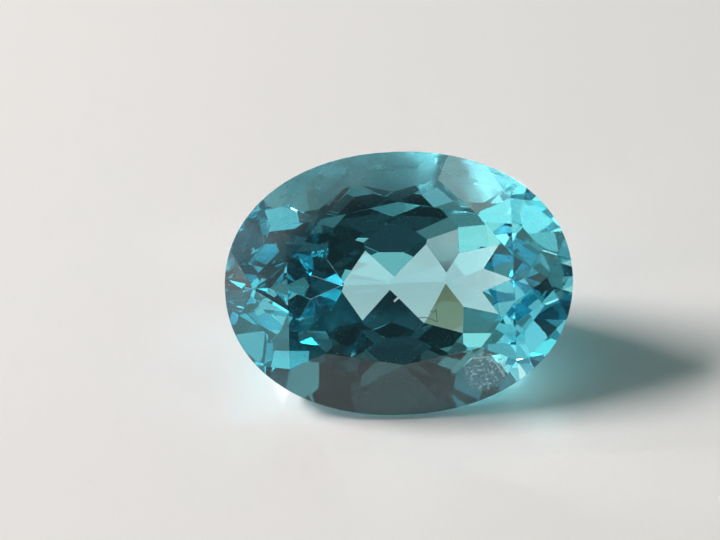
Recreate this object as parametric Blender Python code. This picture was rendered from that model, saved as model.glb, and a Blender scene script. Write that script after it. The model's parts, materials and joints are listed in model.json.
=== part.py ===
# A cut blue topaz: an oval brilliant crown over a pavilion of four offset tiers.
# The stone is cut in millimetres with its table up, then laid on one of its
# outer pavilion facets, the way a loose stone lies on a sheet of paper.
import math

import bmesh
import bpy
from mathutils import Matrix, Vector

MM = 0.001

# Outline, seen square to the table: a slightly squared oval
HALF_LENGTH = 10.0
HALF_WIDTH = 7.55
OUTLINE_POWER = 2.126
GIRDLE_SIDES = 96
GIRDLE_THICKNESS = 0.4
BLANK_DEPTH = 10.0

# Corners that land this close together are one corner
MEETING_TOLERANCE = 0.004

# Crown: the table's corners are plan positions in the first quadrant
CROWN_HEIGHT = 1.7
TABLE_CORNERS = {"side": (0.0, 4.63), "shoulder": (4.42, 3.82), "end": (6.46, 1.3)}
BEZEL_AZIMUTHS = {"side": 90.0, "shoulder": 70.0, "end": 30.0}
STAR_TIP_Y = {"side": 5.84, "shoulder": 4.63}
END_STAR_TIP_X = 8.4
UPPER_GIRDLE_AZIMUTHS = {"side": (82.5, 73.5), "shoulder": (64.0, 50.0), "end": (11.0,)}

# Pavilion, from the keel outwards: azimuth and slope of each facet, and how far
# below the girdle its plane crosses the stone's axis
PAVILION_TIERS = {
    "keel side": (81.5, 35.7, 8.10),
    "keel shoulder": (43.8, 37.7, 9.46),
    "keel end": (0.0, 37.3, 10.11),
    "lozenge side": (90.0, 39.1, 8.14),
    "lozenge shoulder": (75.5, 38.7, 8.42),
    "lozenge end": (19.6, 43.5, 11.0),
    "middle side": (82.2, 44.9, 8.82),
    "middle shoulder": (58.8, 43.3, 9.60),
}
MIDDLE_END_SLOPE = 52.0
OUTER_AZIMUTHS = {"side": 90.0, "shoulder": 70.0, "end": 30.0}
OUTER_END_TIP_X = 7.7

# The stone lies on its front outer side facet, which is a little shallower
REST_SLOPE = 51.9

# Cut by hand: single facets turned towards the side, made steeper, sunk deeper
HAND_CUT = {
    ("keel side", "back left"): (0.5, -0.4, 0.0),
    ("keel side", "front left"): (-0.8, 0.0, 0.06),
    ("keel side", "front right"): (0.8, 0.0, 0.0),
    ("keel shoulder", "back right"): (0.9, 0.0, -0.09),
    ("keel shoulder", "front left"): (0.6, 0.0, 0.0),
    ("lozenge side", "back right"): (-0.5, 0.0, 0.0),
    ("lozenge side", "front right"): (0.9, 0.0, 0.03),
    ("lozenge shoulder", "front left"): (-1.0, 0.0, 0.07),
    ("middle shoulder", "back right"): (-1.0, 0.0, 0.0),
}
QUADRANTS = {
    "back right": (1, 1),
    "back left": (-1, 1),
    "front left": (-1, -1),
    "front right": (1, -1),
}

STONE_COLOUR = (0.10, 0.42, 0.52, 1.0)
STONE_ROUGHNESS = 0.03
TOPAZ_IOR = 1.616


class Facet:
    """A cutting plane: outward normal and its distance from the origin."""

    def __init__(self, normal, point):
        self.normal = Vector(normal).normalized()
        self.offset = self.normal.dot(Vector(point))

    def depth_at(self, x, y):
        """Height of the plane above a plan position."""
        flat = self.normal.x * x + self.normal.y * y
        return (self.offset - flat) / self.normal.z


def leaning(azimuth, slope, up):
    """Outward normal of a facet that slopes away from the table plane."""
    a, s = math.radians(azimuth), math.radians(slope)
    across = math.sin(s)
    return Vector((across * math.cos(a), across * math.sin(a), up * math.cos(s)))


def outline_reach(azimuth):
    """Distance from the axis to the outline's tangent with this azimuth."""
    a = math.radians(azimuth)
    power = OUTLINE_POWER / (OUTLINE_POWER - 1.0)
    along = abs(HALF_LENGTH * math.cos(a)) ** power
    across = abs(HALF_WIDTH * math.sin(a)) ** power
    return (along + across) ** (1.0 / power)


def axial_facet(azimuth, slope, depth):
    """A pavilion facet whose plane crosses the stone's axis at a depth."""
    return Facet(leaning(azimuth, slope, -1), (0, 0, -depth))


def facet_to_girdle(azimuth, point, edge_height):
    """A facet that starts on the girdle's edge and runs in to a point."""
    a = math.radians(azimuth)
    run = outline_reach(azimuth) - (point.x * math.cos(a) + point.y * math.sin(a))
    rise = point.z - edge_height
    slope = math.degrees(math.atan2(abs(rise), run))
    return Facet(leaning(azimuth, slope, 1 if rise > 0 else -1), point)


def meet(first, second, third):
    """The point that three facets share."""
    rows = Matrix((first.normal, second.normal, third.normal))
    return rows.inverted() @ Vector((first.offset, second.offset, third.offset))


def through(a, b, c):
    """An upward facet through three points."""
    normal = (b - a).cross(c - a)
    return Facet(normal if normal.z > 0 else -normal, a)


def reflected(facet, quadrant):
    """The facet carried from the back right quadrant to another."""
    sx, sy = QUADRANTS[quadrant]
    normal = Vector((sx * facet.normal.x, sy * facet.normal.y, facet.normal.z))
    return Facet(normal, normal * facet.offset)


def all_round(name, facet, corrected=None):
    """The facet in every quadrant, once where two copies fall together."""
    found = {}
    for quadrant in QUADRANTS:
        copy = (corrected or {}).get((name, quadrant), facet)
        turned = reflected(facet, quadrant).normal
        key = tuple(round(value, 6) + 0.0 for value in turned)
        if key not in found or (name, quadrant) in (corrected or {}):
            found[key] = reflected(copy, quadrant)
    return list(found.values())


def across_width(x):
    return Facet((1, 0, 0), (x, 0, 0))


def across_length(y):
    return Facet((0, 1, 0), (0, y, 0))


def crown_facets():
    top = GIRDLE_THICKNESS + CROWN_HEIGHT
    corner = {name: Vector((x, y, top)) for name, (x, y) in TABLE_CORNERS.items()}
    bezel = {}
    for name, azimuth in BEZEL_AZIMUTHS.items():
        bezel[name] = facet_to_girdle(azimuth, corner[name], GIRDLE_THICKNESS)
    mirror_end = Vector((1, -1, 1))
    opposite_end = Facet(bezel["end"].normal * mirror_end, corner["end"] * mirror_end)
    tip = {
        "side": meet(bezel["side"], bezel["shoulder"], across_length(STAR_TIP_Y["side"])),
        "shoulder": meet(bezel["shoulder"], bezel["end"], across_length(STAR_TIP_Y["shoulder"])),
        "end": meet(bezel["end"], opposite_end, across_width(END_STAR_TIP_X)),
    }
    stars = [
        through(corner["side"], corner["shoulder"], tip["side"]),
        through(corner["shoulder"], corner["end"], tip["shoulder"]),
        through(corner["end"], corner["end"] * mirror_end, tip["end"]),
    ]
    upper_girdle = []
    for name, azimuths in UPPER_GIRDLE_AZIMUTHS.items():
        for azimuth in azimuths:
            upper_girdle.append(facet_to_girdle(azimuth, tip[name], GIRDLE_THICKNESS))
    table = Facet((0, 0, 1), (0, 0, top))
    facets = [table]
    for facet in list(bezel.values()) + stars + upper_girdle:
        facets += all_round("crown", facet)
    return facets


def hand_cut_facets():
    """The single facets that differ from their tier's chart."""
    corrected = {}
    for (name, quadrant), (turn, steeper, sunk) in HAND_CUT.items():
        azimuth, slope, depth = PAVILION_TIERS[name]
        corrected[name, quadrant] = axial_facet(azimuth + turn, slope + steeper, depth + sunk)
    return corrected


def pavilion_facets():
    tier = {name: axial_facet(*row) for name, row in PAVILION_TIERS.items()}
    end_tip = meet(tier["keel end"], tier["lozenge end"], across_length(0.0))
    tier["middle end"] = Facet(leaning(0.0, MIDDLE_END_SLOPE, -1), end_tip)
    outer_tip = {
        "side": meet(tier["lozenge side"], tier["middle side"], across_width(0.0)),
        "shoulder": meet(tier["lozenge shoulder"], tier["middle side"], tier["middle shoulder"]),
        "end": meet(tier["lozenge end"], tier["middle end"], across_width(OUTER_END_TIP_X)),
    }
    for name, azimuth in OUTER_AZIMUTHS.items():
        tier["outer " + name] = facet_to_girdle(azimuth, outer_tip[name], 0.0)

    corrected = hand_cut_facets()
    rest = Facet(leaning(OUTER_AZIMUTHS["side"], REST_SLOPE, -1), (0, HALF_WIDTH, 0))
    corrected["outer side", "front right"] = rest
    facets = []
    for name, facet in tier.items():
        facets += all_round(name, facet, corrected)
    return facets, reflected(rest, "front right")


def girdle_blank(bm):
    """A straight-sided oval blank, taller than the finished stone."""
    corners = []
    step = 360.0 / GIRDLE_SIDES
    for k in range(GIRDLE_SIDES):
        sides = []
        for azimuth in ((k - 0.5) * step, (k + 0.5) * step):
            a = math.radians(azimuth)
            normal = Vector((math.cos(a), math.sin(a), 0))
            sides.append(Facet(normal, normal * outline_reach(azimuth)))
        corners.append(meet(sides[0], sides[1], Facet((0, 0, 1), (0, 0, 0))))
    low, high = -BLANK_DEPTH, GIRDLE_THICKNESS + 1.2 * CROWN_HEIGHT
    bottom = [bm.verts.new((c.x, c.y, low)) for c in corners]
    top = [bm.verts.new((c.x, c.y, high)) for c in corners]
    bm.faces.new(list(reversed(bottom)))
    bm.faces.new(top)
    for k in range(GIRDLE_SIDES):
        n = (k + 1) % GIRDLE_SIDES
        bm.faces.new((bottom[k], bottom[n], top[n], top[k]))


def grind(bm, facet):
    """Cut away what stands outside the facet and close the cut with one face."""
    result = bmesh.ops.bisect_plane(
        bm,
        geom=bm.verts[:] + bm.edges[:] + bm.faces[:],
        dist=1e-5,
        plane_co=facet.normal * facet.offset,
        plane_no=facet.normal,
        clear_outer=True,
    )
    rim = [item for item in result["geom_cut"] if isinstance(item, bmesh.types.BMEdge)]
    bmesh.ops.contextual_create(bm, geom=rim)


def lay_down(bm, rest_facet):
    """Lay the stone on one facet, its origin in the middle of its footprint."""
    lean = math.atan2(abs(rest_facet.normal.y), abs(rest_facet.normal.z))
    laid = Matrix.Rotation(lean, 4, "X")
    bm.transform(Matrix.Translation((0, 0, rest_facet.offset)) @ laid)
    front = min(vert.co.y for vert in bm.verts)
    back = max(vert.co.y for vert in bm.verts)
    bm.transform(Matrix.Translation((0, -(front + back) / 2, 0)))


def stone_material():
    material = bpy.data.materials.new("blue_topaz")
    material.use_nodes = True
    shader = material.node_tree.nodes["Principled BSDF"]
    shader.inputs["Base Color"].default_value = STONE_COLOUR
    shader.inputs["Roughness"].default_value = STONE_ROUGHNESS
    shader.inputs["Metallic"].default_value = 0.0
    shader.inputs["IOR"].default_value = TOPAZ_IOR
    return material


def cut_stone():
    bm = bmesh.new()
    girdle_blank(bm)
    pavilion, rest_facet = pavilion_facets()
    for facet in crown_facets() + pavilion:
        grind(bm, facet)
    bmesh.ops.remove_doubles(bm, verts=bm.verts[:], dist=MEETING_TOLERANCE)
    bmesh.ops.recalc_face_normals(bm, faces=bm.faces[:])
    lay_down(bm, rest_facet)
    bm.transform(Matrix.Scale(MM, 4))

    mesh = bpy.data.meshes.new("topaz")
    bm.to_mesh(mesh)
    bm.free()
    mesh.materials.append(stone_material())
    stone = bpy.data.objects.new("topaz", mesh)
    bpy.context.scene.collection.objects.link(stone)
    return stone


def main():
    for item in list(bpy.data.objects):
        bpy.data.objects.remove(item)
    cut_stone()


main()
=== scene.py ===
import json
import math
from functools import reduce

import bmesh
import bpy
from mathutils import Matrix, Vector


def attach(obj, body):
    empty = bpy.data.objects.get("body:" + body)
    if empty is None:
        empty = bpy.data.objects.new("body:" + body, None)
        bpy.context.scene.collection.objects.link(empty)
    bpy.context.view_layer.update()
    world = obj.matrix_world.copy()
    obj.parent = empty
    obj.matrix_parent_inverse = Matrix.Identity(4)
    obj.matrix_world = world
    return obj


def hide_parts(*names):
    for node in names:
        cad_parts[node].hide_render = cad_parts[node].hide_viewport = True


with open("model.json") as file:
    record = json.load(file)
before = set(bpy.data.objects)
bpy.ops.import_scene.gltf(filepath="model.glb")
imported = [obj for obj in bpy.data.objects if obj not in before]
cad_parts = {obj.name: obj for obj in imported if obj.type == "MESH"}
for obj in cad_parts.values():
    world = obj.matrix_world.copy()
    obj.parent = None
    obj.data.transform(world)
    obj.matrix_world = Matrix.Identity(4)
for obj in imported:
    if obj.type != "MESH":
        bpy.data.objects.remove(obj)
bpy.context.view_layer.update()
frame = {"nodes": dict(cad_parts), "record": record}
scene = bpy.context.scene
mm = 0.001


class Socket:
    # one output of a node tree, so that shader maths reads as plain arithmetic

    def __init__(self, shade, out):
        self.shade = shade
        self.out = out

    def __add__(self, other):
        return self.shade.maths("ADD", self, other)

    def __radd__(self, other):
        return self.shade.maths("ADD", other, self)

    def __sub__(self, other):
        return self.shade.maths("SUBTRACT", self, other)

    def __rsub__(self, other):
        return self.shade.maths("SUBTRACT", other, self)

    def __mul__(self, other):
        return self.shade.maths("MULTIPLY", self, other)

    def __rmul__(self, other):
        return self.shade.maths("MULTIPLY", other, self)

    def __pow__(self, other):
        return self.shade.maths("POWER", self, other)

    def __rpow__(self, other):
        return self.shade.maths("POWER", other, self)

    def least(self, other):
        return self.shade.maths("MINIMUM", self, other)

    def most(self, other):
        return self.shade.maths("MAXIMUM", self, other)

    def clamped(self):
        return self.shade.maths("ADD", self, 0.0, clamp=True)

    def ramp(self, low, high, start=0.0, end=1.0):
        # smooth step from start to end while this value goes from low to high
        return self.shade.node(
            "ShaderNodeMapRange",
            dict(interpolation_type="SMOOTHSTEP"),
            {"Value": self, "From Min": low, "From Max": high, "To Min": start, "To Max": end},
        )

    # the next four are for a place or a direction

    def less(self, place):
        return self.shade.vectors("SUBTRACT", self, place)

    def dot(self, direction):
        return self.shade.vectors("DOT_PRODUCT", self, direction, out="Value")

    def distance(self, place):
        return self.shade.vectors("DISTANCE", self, place, out="Value")

    def part(self, which):
        return self.shade.node("ShaderNodeSeparateXYZ", None, {"Vector": self}, which)


class Shade:
    # the node tree of a material or of the world

    def __init__(self, owner):
        self.owner = owner
        owner.use_nodes = True
        self.tree = owner.node_tree
        self.tree.nodes.clear()

    def node(self, kind, settings=None, sockets=None, out=0):
        made = self.tree.nodes.new(kind)
        for name, value in (settings or {}).items():
            setattr(made, name, value)
        for name, value in (sockets or {}).items():
            if isinstance(value, Socket):
                self.tree.links.new(value.out, made.inputs[name])
            else:
                made.inputs[name].default_value = value
        return Socket(self, made.outputs[out]) if made.outputs else None

    def maths(self, operation, *values, clamp=False):
        settings = dict(operation=operation, use_clamp=clamp)
        return self.node("ShaderNodeMath", settings, dict(enumerate(values)))

    def vectors(self, operation, *values, out="Vector"):
        sockets = dict(enumerate(values))
        return self.node("ShaderNodeVectorMath", dict(operation=operation), sockets, out)

    def place(self):
        return self.node("ShaderNodeTexCoord", out="Object")

    def noise(self, where, scale, detail=3.0, roughness=0.5):
        return self.node("ShaderNodeTexNoise", None, {
            "Vector": where,
            "Scale": scale,
            "Detail": detail,
            "Roughness": roughness,
        })

    def mottle(self, where, low, high, least=0.0, most=1.0, **texture):
        # noise drawn out between two of its levels
        return self.noise(where, **texture).ramp(low, high, least, most)

    def blend(self, factor, first, second):
        # two colours mixed by a factor
        sockets = {0: factor, 6: first, 7: second}
        return self.node("ShaderNodeMix", dict(data_type="RGBA"), sockets, 2)


# How the stone lies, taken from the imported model

tableHeight = 1.9  # mm above the middle of the girdle


def stoneAxes():
    mounts = {mount["name"]: mount for mount in frame["record"]["mounts"]}
    table = mounts["table_face"]
    up = Vector(table["axis"]).normalized()
    along = Vector((1.0, 0.0, 0.0))
    across = up.cross(along).normalized()
    return Vector(table["pos_m"]), along, across, up


tableCentre, stoneAlong, stoneAcross, stoneUp = stoneAxes()
girdleCentre = tableCentre - stoneUp * (tableHeight * mm)


# Camera

view = dict(
    azimuth=-3.6,
    elevation=math.degrees(math.asin(stoneUp.z)),  # square to the table
    distance=193.1,  # mm from the middle of the girdle
    focalPixels=3363.0,
    width=720,
    height=540,
    aimPixel=(399.1, 283.4),  # where the middle of the girdle shows
    sensorWidth=36.0,
    clipStart=0.01,
    clipEnd=20.0,
)


def makeCamera():
    around = math.radians(view["azimuth"])
    above = math.radians(view["elevation"])
    forward = Vector((
        -math.sin(around) * math.cos(above),
        math.cos(around) * math.cos(above),
        -math.sin(above),
    ))
    right = Vector((math.cos(around), math.sin(around), 0.0))
    upward = right.cross(forward)
    aimX = (view["aimPixel"][0] - view["width"] / 2) / view["focalPixels"]
    aimY = (view["height"] / 2 - view["aimPixel"][1]) / view["focalPixels"]
    step = right * aimX + upward * aimY + forward
    camera = bpy.data.cameras.new("camera")
    camera.sensor_width = view["sensorWidth"]
    camera.lens = view["focalPixels"] * view["sensorWidth"] / view["width"]
    camera.clip_start = view["clipStart"]
    camera.clip_end = view["clipEnd"]
    holder = bpy.data.objects.new("camera", camera)
    scene.collection.objects.link(holder)
    turn = Matrix((right, upward, -forward)).transposed().to_4x4()
    holder.matrix_world = Matrix.Translation(girdleCentre - step * view["distance"] * mm) @ turn
    scene.camera = holder


makeCamera()
print("camera set")


# The stone: the cut solid with every facet edge worn to a hair-thin flat

stone = dict(
    weldDistance=1e-7,
    flatAngle=math.radians(1.1),  # triangles that meet flatter than this are one facet
    sharpAngle=math.radians(6.0),  # edges blunter than this stay unworn
    wornWidth=0.016 * mm,
    cutTolerance=1e-9,
    girdleLean=0.1,  # most that a girdle flat's normal leans towards the table
)


def facetedMesh(node):
    bm = bmesh.new()
    bm.from_mesh(node.data)
    bmesh.ops.remove_doubles(bm, verts=bm.verts[:], dist=stone["weldDistance"])
    bmesh.ops.dissolve_limit(
        bm, angle_limit=stone["flatAngle"], verts=bm.verts[:], edges=bm.edges[:])
    return bm


def wearEdges(bm):
    flats = []
    for edge in bm.edges:
        if len(edge.link_faces) != 2:
            continue
        angle = edge.calc_face_angle()
        if angle < stone["sharpAngle"]:
            continue
        first, second = (face.normal for face in edge.link_faces)
        outward = (first + second).normalized()
        middle = (edge.verts[0].co + edge.verts[1].co) / 2
        depth = stone["wornWidth"] * math.tan(angle / 2) / 2
        flats.append((middle - outward * depth, outward))
    for point, outward in flats:
        cut = bmesh.ops.bisect_plane(
            bm,
            geom=bm.verts[:] + bm.edges[:] + bm.faces[:],
            dist=stone["cutTolerance"],
            plane_co=point,
            plane_no=outward,
            clear_outer=True,
        )
        rim = [item for item in cut["geom_cut"] if isinstance(item, bmesh.types.BMEdge)]
        if rim:
            bmesh.ops.contextual_create(bm, geom=rim)


def makeStone():
    node = frame["nodes"]["topaz"]
    bm = facetedMesh(node)
    wearEdges(bm)
    bmesh.ops.recalc_face_normals(bm, faces=bm.faces[:])
    girdleMark = bm.faces.layers.float.new("girdle")
    for face in bm.faces:
        face.smooth = False
        face[girdleMark] = 1.0 if abs(face.normal.dot(stoneUp)) < stone["girdleLean"] else 0.0
    mesh = bpy.data.meshes.new("facetedTopaz")
    bm.to_mesh(mesh)
    bm.free()
    gem = bpy.data.objects.new("facetedTopaz", mesh)
    scene.collection.objects.link(gem)
    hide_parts("topaz")
    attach(gem, "root")
    print("stone made, faces", len(mesh.polygons))
    return gem


gem = makeStone()


# Topaz: clear, and sky blue by absorption. Pale matt marks lie on the glass: dust, a ground
# girdle and a chip, and also a painted sheen, a painted reflection, a painted highlight and a
# painted glint.
# Places and lengths are in mm along, across and above the middle of the girdle.

topaz = dict(
    ior=1.616,
    absorbed=(0.27, 0.87, 0.935, 1.0),
    density=100.0,  # per metre
    waves=dict(scale=650.0, detail=1.0),  # left by the polish, scale per metre
    waveDepth=0.0006 * mm,
    girdleRoughness=0.35,
    girdleGrain=dict(scale=14.0, low=0.35, high=0.65, least=0.3, most=0.5),
)
marks = dict(
    # pale matt colour of dust, ground girdle and chip, and also of the painted highlight, glint
    # and sheen
    dustAndHighlightColour=(0.74, 0.88, 0.94, 1.0),
    speckleReflectionColour=(0.66, 0.92, 1.0, 1.0),  # painted reflection of pale specks, seen over blue
    speckleReflectionFull=0.2,
    darkColour=(0.03, 0.07, 0.07, 1.0),
    roughness=0.7,
)


def onTheStone(shade):
    # shader position in mm along, across and above the middle of the girdle
    away = shade.place().less(girdleCentre[:])
    axes = {"X": stoneAlong, "Y": stoneAcross, "Z": stoneUp}
    parts = {name: away.dot((axis / mm)[:]) for name, axis in axes.items()}
    return shade.node("ShaderNodeCombineXYZ", None, parts)


# Fine hair and small chip on the table, a painted highlight on the girdle, and a painted glint
# along the upper rim of the speckled facet

lines = dict(
    hairWidth=0.022,
    hairStrength=0.85,
    rimWidth=0.05,
    rimGlintStrength=0.8,
    core=0.7,  # a line is full inside this share of its width
    fade=1.5,  # and gone outside this one
)


def onTable(*places):
    return [(along, across, tableHeight) for along, across in places]


hairPaths = [
    onTable((0.94, -2.0), (1.29, -1.97), (1.63, -2.09), (1.95, -2.26)),
    onTable((1.61, -1.6), (1.75, -1.71), (1.9, -1.62), (1.93, -1.54)),
    onTable((1.93, -1.54), (1.93, -1.8), (1.96, -2.03), (1.98, -2.26)),
]
# the first line is a chip on the table; the second, on the girdle, is a painted highlight, a
# small white flash
chipAndHighlightPaths = [
    onTable((-0.41, -0.98), (-0.21, -0.81)),
    [(4.43, -6.28, 0.6), (4.53, -6.5, 0.48)],
]
# painted glint: a pale line along the upper rim of the speckled facet
rimGlintPaths = [
    [(3.95, -4.42, 1.66), (4.85, -4.39, 1.5), (5.3, -4.78, 1.2), (5.78, -5.5, 0.68)],
]


def awayFromPath(shade, here, path):
    # distance from a line through some places
    gaps = []
    for first, last in zip(path, path[1:]):
        run = Vector(last) - Vector(first)
        fromFirst = here.less(first)
        share = fromFirst.dot((run / run.length_squared)[:]).clamped()
        reached = shade.node("ShaderNodeVectorMath", dict(operation="SCALE"), {
            "Vector": run[:],
            "Scale": share,
        })
        gaps.append(fromFirst.distance(reached))
    return reduce(Socket.least, gaps)


def lineMask(shade, here, paths, width):
    core = width * lines["core"]
    fade = width * lines["fade"]
    masks = [1.0 - awayFromPath(shade, here, path).ramp(core, fade) for path in paths]
    return reduce(Socket.most, masks)


# Painted reflection of pale flecks on one crown facet, with a faint haze between them

speckleReflection = dict(
    middle=(4.72, -5.15, 1.05),
    reach=1.25,
    softness=0.18,
    edge=dict(scale=1.4, detail=2.0),
    edgeWander=0.5,
    flecks=dict(scale=5.0, low=0.5, high=0.64, most=0.92, roughness=0.65),
    haze=0.07,
)


def speckleReflectionMask(shade, here):
    # painted reflection: pale flecks and haze in a soft round patch on one facet
    wander = shade.noise(here, **speckleReflection["edge"]) - 0.5  # the noise lies round 0.5
    gap = here.distance(speckleReflection["middle"]) + wander * speckleReflection["edgeWander"]
    inner = speckleReflection["reach"] - speckleReflection["softness"]
    outer = speckleReflection["reach"] + speckleReflection["softness"]
    inside = 1.0 - gap.ramp(inner, outer)
    return inside * (shade.mottle(here, **speckleReflection["flecks"]) + speckleReflection["haze"])


# Dust and finger film with a painted milky sheen, thin near the girdle and absent from the
# table, with rare specks

dustAndSheen = dict(
    squash=0.755,  # the oval's width for its length
    start=4.2,
    end=6.6,
    strength=0.035,
    front=-3.5,
    frontShare=0.05,  # painted sheen: far less on the lower side, turned to the viewer, than on the upper, back side
    back=3.5,
    backShare=2.2,
    clouds=dict(scale=0.9, detail=4.0, low=0.3, high=0.7, least=0.55),
    specks=dict(scale=8.0, detail=1.0, low=0.71, high=0.76, most=0.25),
    speckStart=2.0,
    speckEnd=6.0,
    speckLeast=0.15,
)


def dustAndSheenMask(shade, here):
    along, across = here.part("X"), here.part("Y")
    span = ((along * dustAndSheen["squash"]) ** 2.0 + across ** 2.0) ** 0.5
    haze = span.ramp(dustAndSheen["start"], dustAndSheen["end"], 0.0, dustAndSheen["strength"])
    # painted sheen: the film grows much paler towards the upper, back side
    haze = haze * across.ramp(dustAndSheen["front"], dustAndSheen["back"], dustAndSheen["frontShare"], dustAndSheen["backShare"])
    haze = haze * shade.mottle(here, **dustAndSheen["clouds"])
    specks = shade.mottle(here, **dustAndSheen["specks"])
    return haze + specks * span.ramp(dustAndSheen["speckStart"], dustAndSheen["speckEnd"], dustAndSheen["speckLeast"])


def topazMaterial():
    shade = Shade(bpy.data.materials.new("blueTopaz"))
    here = onTheStone(shade)
    girdle = shade.node("ShaderNodeAttribute", dict(attribute_name="girdle"), out="Fac")
    hair = lineMask(shade, here, hairPaths, lines["hairWidth"])
    paintedSpeckles = speckleReflectionMask(shade, here)
    # pale matt marks, real and painted: dust with painted sheen, painted reflection of flecks,
    # girdle grain, a chip, a painted highlight and a painted glint
    pale = reduce(Socket.most, (
        dustAndSheenMask(shade, here),
        paintedSpeckles,
        girdle * shade.mottle(here, **topaz["girdleGrain"]),
        # the table chip, and the painted highlight on the girdle
        lineMask(shade, here, chipAndHighlightPaths, lines["rimWidth"]),
        # painted glint along the rim of the speckled facet
        lineMask(shade, here, rimGlintPaths, lines["rimWidth"]) * lines["rimGlintStrength"],
    ))
    waves = shade.node("ShaderNodeBump", None, {
        "Strength": 1.0,
        "Distance": topaz["waveDepth"],
        "Height": shade.noise(shade.place(), **topaz["waves"]),
    })
    glass = shade.node("ShaderNodeBsdfPrincipled", None, {
        "Base Color": (1.0, 1.0, 1.0, 1.0),
        "Roughness": girdle * topaz["girdleRoughness"],
        "IOR": topaz["ior"],
        "Transmission Weight": 1.0,
        "Normal": waves,
    })
    # painted reflection colour where the flecks are strong
    speckleReflectionShare = paintedSpeckles.ramp(0.0, marks["speckleReflectionFull"])
    paleColour = shade.blend(speckleReflectionShare, marks["dustAndHighlightColour"], marks["speckleReflectionColour"])
    matt = shade.node("ShaderNodeBsdfPrincipled", None, {
        "Base Color": shade.blend(hair, paleColour, marks["darkColour"]),
        "Roughness": marks["roughness"],
    })
    surface = shade.node("ShaderNodeMixShader", None, {
        0: pale.most(hair * lines["hairStrength"]),
        1: glass,
        2: matt,
    })
    inside = shade.node("ShaderNodeVolumeAbsorption", None, {
        "Color": topaz["absorbed"],
        "Density": topaz["density"],
    })
    shade.node("ShaderNodeOutputMaterial", None, {"Surface": surface, "Volume": inside})
    return shade.owner


gem.data.materials.append(topazMaterial())
print("topaz material made")


# Floor

floor = dict(
    halfSide=1.5,
    airGap=0.05 * mm,  # paper touches the lowest facet only here and there
    colour=(0.85, 0.802, 0.798, 1.0),
    roughness=0.9,
    specular=0.2,
)


def makeFloor():
    mesh = bpy.data.meshes.new("floor")
    side = floor["halfSide"]
    low = -floor["airGap"]
    corners = [(-side, -side, low), (side, -side, low), (side, side, low), (-side, side, low)]
    mesh.from_pydata(corners, [], [(0, 1, 2, 3)])
    ground = bpy.data.objects.new("floor", mesh)
    scene.collection.objects.link(ground)
    shade = Shade(bpy.data.materials.new("paleFloor"))
    surface = shade.node("ShaderNodeBsdfPrincipled", None, {
        "Base Color": floor["colour"],
        "Roughness": floor["roughness"],
        "Specular IOR Level": floor["specular"],
    })
    shade.node("ShaderNodeOutputMaterial", None, {"Surface": surface})
    mesh.materials.append(shade.owner)


makeFloor()
print("floor made")


# Room: dim light from all round, and how far the rays are followed

room = dict(
    colour=(0.80, 0.95, 1.0, 1.0),
    strength=0.025,
    backdropColour=(0.78, 0.77, 0.75, 1.0),
    bounces=24,
    glossyBounces=16,
    transmissionBounces=16,
)


def makeRoom():
    # the pale backdrop shows only where the camera looks past the floor
    shade = Shade(bpy.data.worlds.new("room"))
    dim = shade.node("ShaderNodeBackground", None, {
        "Color": room["colour"],
        "Strength": room["strength"],
    })
    backdrop = shade.node("ShaderNodeBackground", None, {"Color": room["backdropColour"]})
    shown = shade.node("ShaderNodeLightPath", out="Is Camera Ray")
    surface = shade.node("ShaderNodeMixShader", None, {0: shown, 1: dim, 2: backdrop})
    shade.node("ShaderNodeOutputWorld", None, {"Surface": surface})
    scene.world = shade.owner
    scene.view_settings.view_transform = "Standard"
    scene.cycles.blur_glossy = 0.0  # keeps the light that the facets throw on the floor
    scene.cycles.sample_clamp_indirect = 0.0
    scene.cycles.max_bounces = room["bounces"]
    scene.cycles.glossy_bounces = room["glossyBounces"]
    scene.cycles.transmission_bounces = room["transmissionBounces"]


# Lights: a strong key on the left for the shadow, a soft window round it, and dim panels
# round the room. Each is placed and sized by angles in degrees, seen from the stone:
# azimuth 0 is behind it and 90 is to its right.

lightReach = 0.6  # metres from the stone

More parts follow.
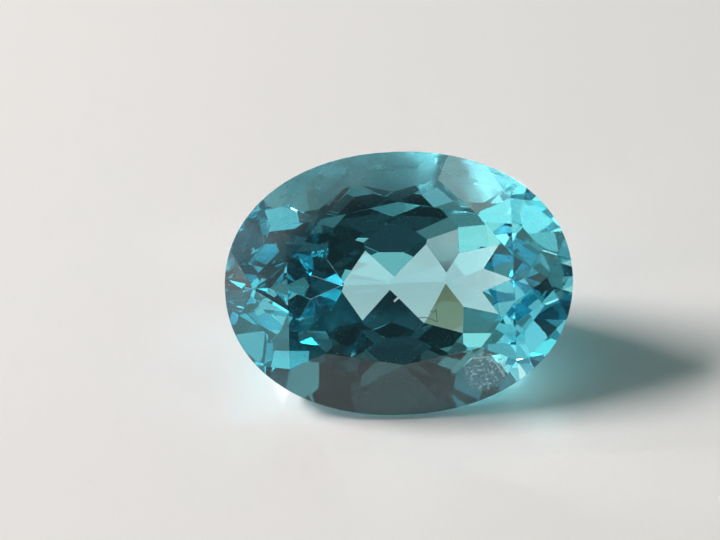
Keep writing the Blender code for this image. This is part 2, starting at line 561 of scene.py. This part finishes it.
panels = dict(
    key=dict(azimuth=285.0, elevation=38.0, width=24.0, height=7.0, radiance=66.0,
             colour=(1.0, 0.96, 0.95)),
    window=dict(azimuth=268.0, elevation=25.0, width=36.0, height=9.0, radiance=0.5,
                colour=(1.0, 1.0, 0.92), roll=30.0),
    windowFrame=dict(azimuth=280.0, elevation=24.0, width=42.0, height=28.0, radiance=1.4,
                     colour=(1.0, 0.97, 0.88)),
    windowBack=dict(azimuth=296.0, elevation=27.0, width=30.0, height=16.0, radiance=1.2,
                    colour=(1.0, 0.86, 0.76)),
    windowEnd=dict(azimuth=247.0, elevation=27.0, width=9.0, height=12.0, radiance=0.95,
                   colour=(1.0, 0.85, 0.72)),
    leftLow=dict(azimuth=286.0, elevation=4.0, width=56.0, height=16.0, radiance=0.85,
                 colour=(1.0, 0.98, 0.86)),
    leftEnd=dict(azimuth=256.0, elevation=3.0, width=30.0, height=16.0, radiance=0.5,
                 colour=(0.95, 1.0, 1.0)),
    leftHigh=dict(azimuth=284.0, elevation=46.0, width=50.0, height=20.0, radiance=0.24,
                  colour=(0.5, 1.0, 0.97)),
    leftSpot=dict(azimuth=245.0, elevation=2.0, width=7.0, height=6.0, radiance=1.8,
                  colour=(0.4, 0.9, 1.0)),
    frontLeft=dict(azimuth=226.0, elevation=24.0, width=44.0, height=34.0, radiance=0.23,
                   colour=(1.0, 0.97, 0.88)),
    frontSpot=dict(azimuth=224.0, elevation=3.0, width=10.0, height=8.0, radiance=2.6,
                   colour=(0.4, 0.95, 1.0)),
    frontLow=dict(azimuth=200.0, elevation=8.0, width=18.0, height=12.0, radiance=0.6,
                  colour=(0.8, 1.0, 1.0)),
    front=dict(azimuth=176.0, elevation=13.0, width=30.0, height=20.0, radiance=0.62,
               colour=(1.0, 0.95, 0.86)),
    frontRight=dict(azimuth=160.0, elevation=8.0, width=10.0, height=8.0, radiance=0.6,
                    colour=(1.0, 0.98, 0.95)),
    frontMiddle=dict(azimuth=168.0, elevation=27.0, width=10.0, height=8.0, radiance=1.5,
                     colour=(0.5, 1.0, 1.0)),
    frontHigh=dict(azimuth=168.5, elevation=38.0, width=7.0, height=6.0, radiance=1.1,
                   colour=(0.6, 1.0, 0.9)),
    rightSpot=dict(azimuth=140.0, elevation=30.0, width=7.0, height=6.0, radiance=0.9,
                   colour=(0.6, 1.0, 1.0)),
    frontNarrow=dict(azimuth=173.0, elevation=22.6, width=5.0, height=3.2, radiance=0.65,
                     colour=(1.0, 1.0, 0.95)),
    middleNarrow=dict(azimuth=213.5, elevation=43.5, width=4.0, height=3.0, radiance=0.5,
                      colour=(1.0, 1.0, 1.0)),
    leftNarrow=dict(azimuth=228.5, elevation=41.0, width=6.0, height=5.0, radiance=1.0,
                    colour=(1.0, 1.0, 0.95)),
    frontTop=dict(azimuth=178.0, elevation=44.0, width=28.0, height=20.0, radiance=0.045,
                  colour=(0.6, 0.9, 1.0)),
    topSpot=dict(azimuth=168.5, elevation=57.0, width=2.0, height=4.0, radiance=0.9,
                 colour=(1.0, 1.0, 1.0)),
    topLeftSpot=dict(azimuth=198.5, elevation=51.0, width=3.2, height=3.2, radiance=0.36,
                     colour=(1.0, 1.0, 1.0)),
    rightHigh=dict(azimuth=108.0, elevation=42.0, width=18.0, height=12.0, radiance=1.9,
                   colour=(0.3, 1.0, 1.0)),
    rightTop=dict(azimuth=70.0, elevation=65.0, width=14.0, height=11.0, radiance=2.2,
                  colour=(0.9, 1.0, 0.92)),
    rightBack=dict(azimuth=66.0, elevation=12.0, width=40.0, height=20.0, radiance=1.0,
                   colour=(0.35, 1.0, 0.8)),
    rightMiddle=dict(azimuth=48.0, elevation=27.0, width=18.0, height=12.0, radiance=0.2,
                     colour=(0.5, 1.0, 1.0)),
    backLeft=dict(azimuth=322.0, elevation=36.0, width=14.0, height=9.0, radiance=0.15,
                  colour=(0.3, 0.85, 1.0)),
    back=dict(azimuth=345.0, elevation=14.0, width=56.0, height=16.0, radiance=0.65,
              colour=(0.4, 1.0, 0.97)),
    backLow=dict(azimuth=354.0, elevation=3.0, width=16.0, height=5.0, radiance=0.4,
                 colour=(1.0, 0.84, 0.45)),
)


def makePanel(name, azimuth, elevation, width, height, radiance, colour, roll=0.0):
    around, above = math.radians(azimuth), math.radians(elevation)
    away = Vector((
        math.sin(around) * math.cos(above),
        math.cos(around) * math.cos(above),
        math.sin(above),
    ))
    lamp = bpy.data.lights.new(name, "AREA")
    lamp.shape = "RECTANGLE"
    lamp.size = 2 * lightReach * math.tan(math.radians(width / 2))
    lamp.size_y = 2 * lightReach * math.tan(math.radians(height / 2))
    lamp.energy = math.pi * lamp.size * lamp.size_y * radiance
    lamp.color = colour
    holder = bpy.data.objects.new(name, lamp)
    scene.collection.objects.link(holder)
    turn = away.to_track_quat("Z", "Y").to_matrix().to_4x4()
    turn = turn @ Matrix.Rotation(math.radians(roll), 4, "Z")
    holder.matrix_world = Matrix.Translation(girdleCentre + away * lightReach) @ turn
    holder.visible_camera = False


makeRoom()
for panelName, panelValues in panels.items():
    makePanel(panelName, **panelValues)
print("room and lights made")
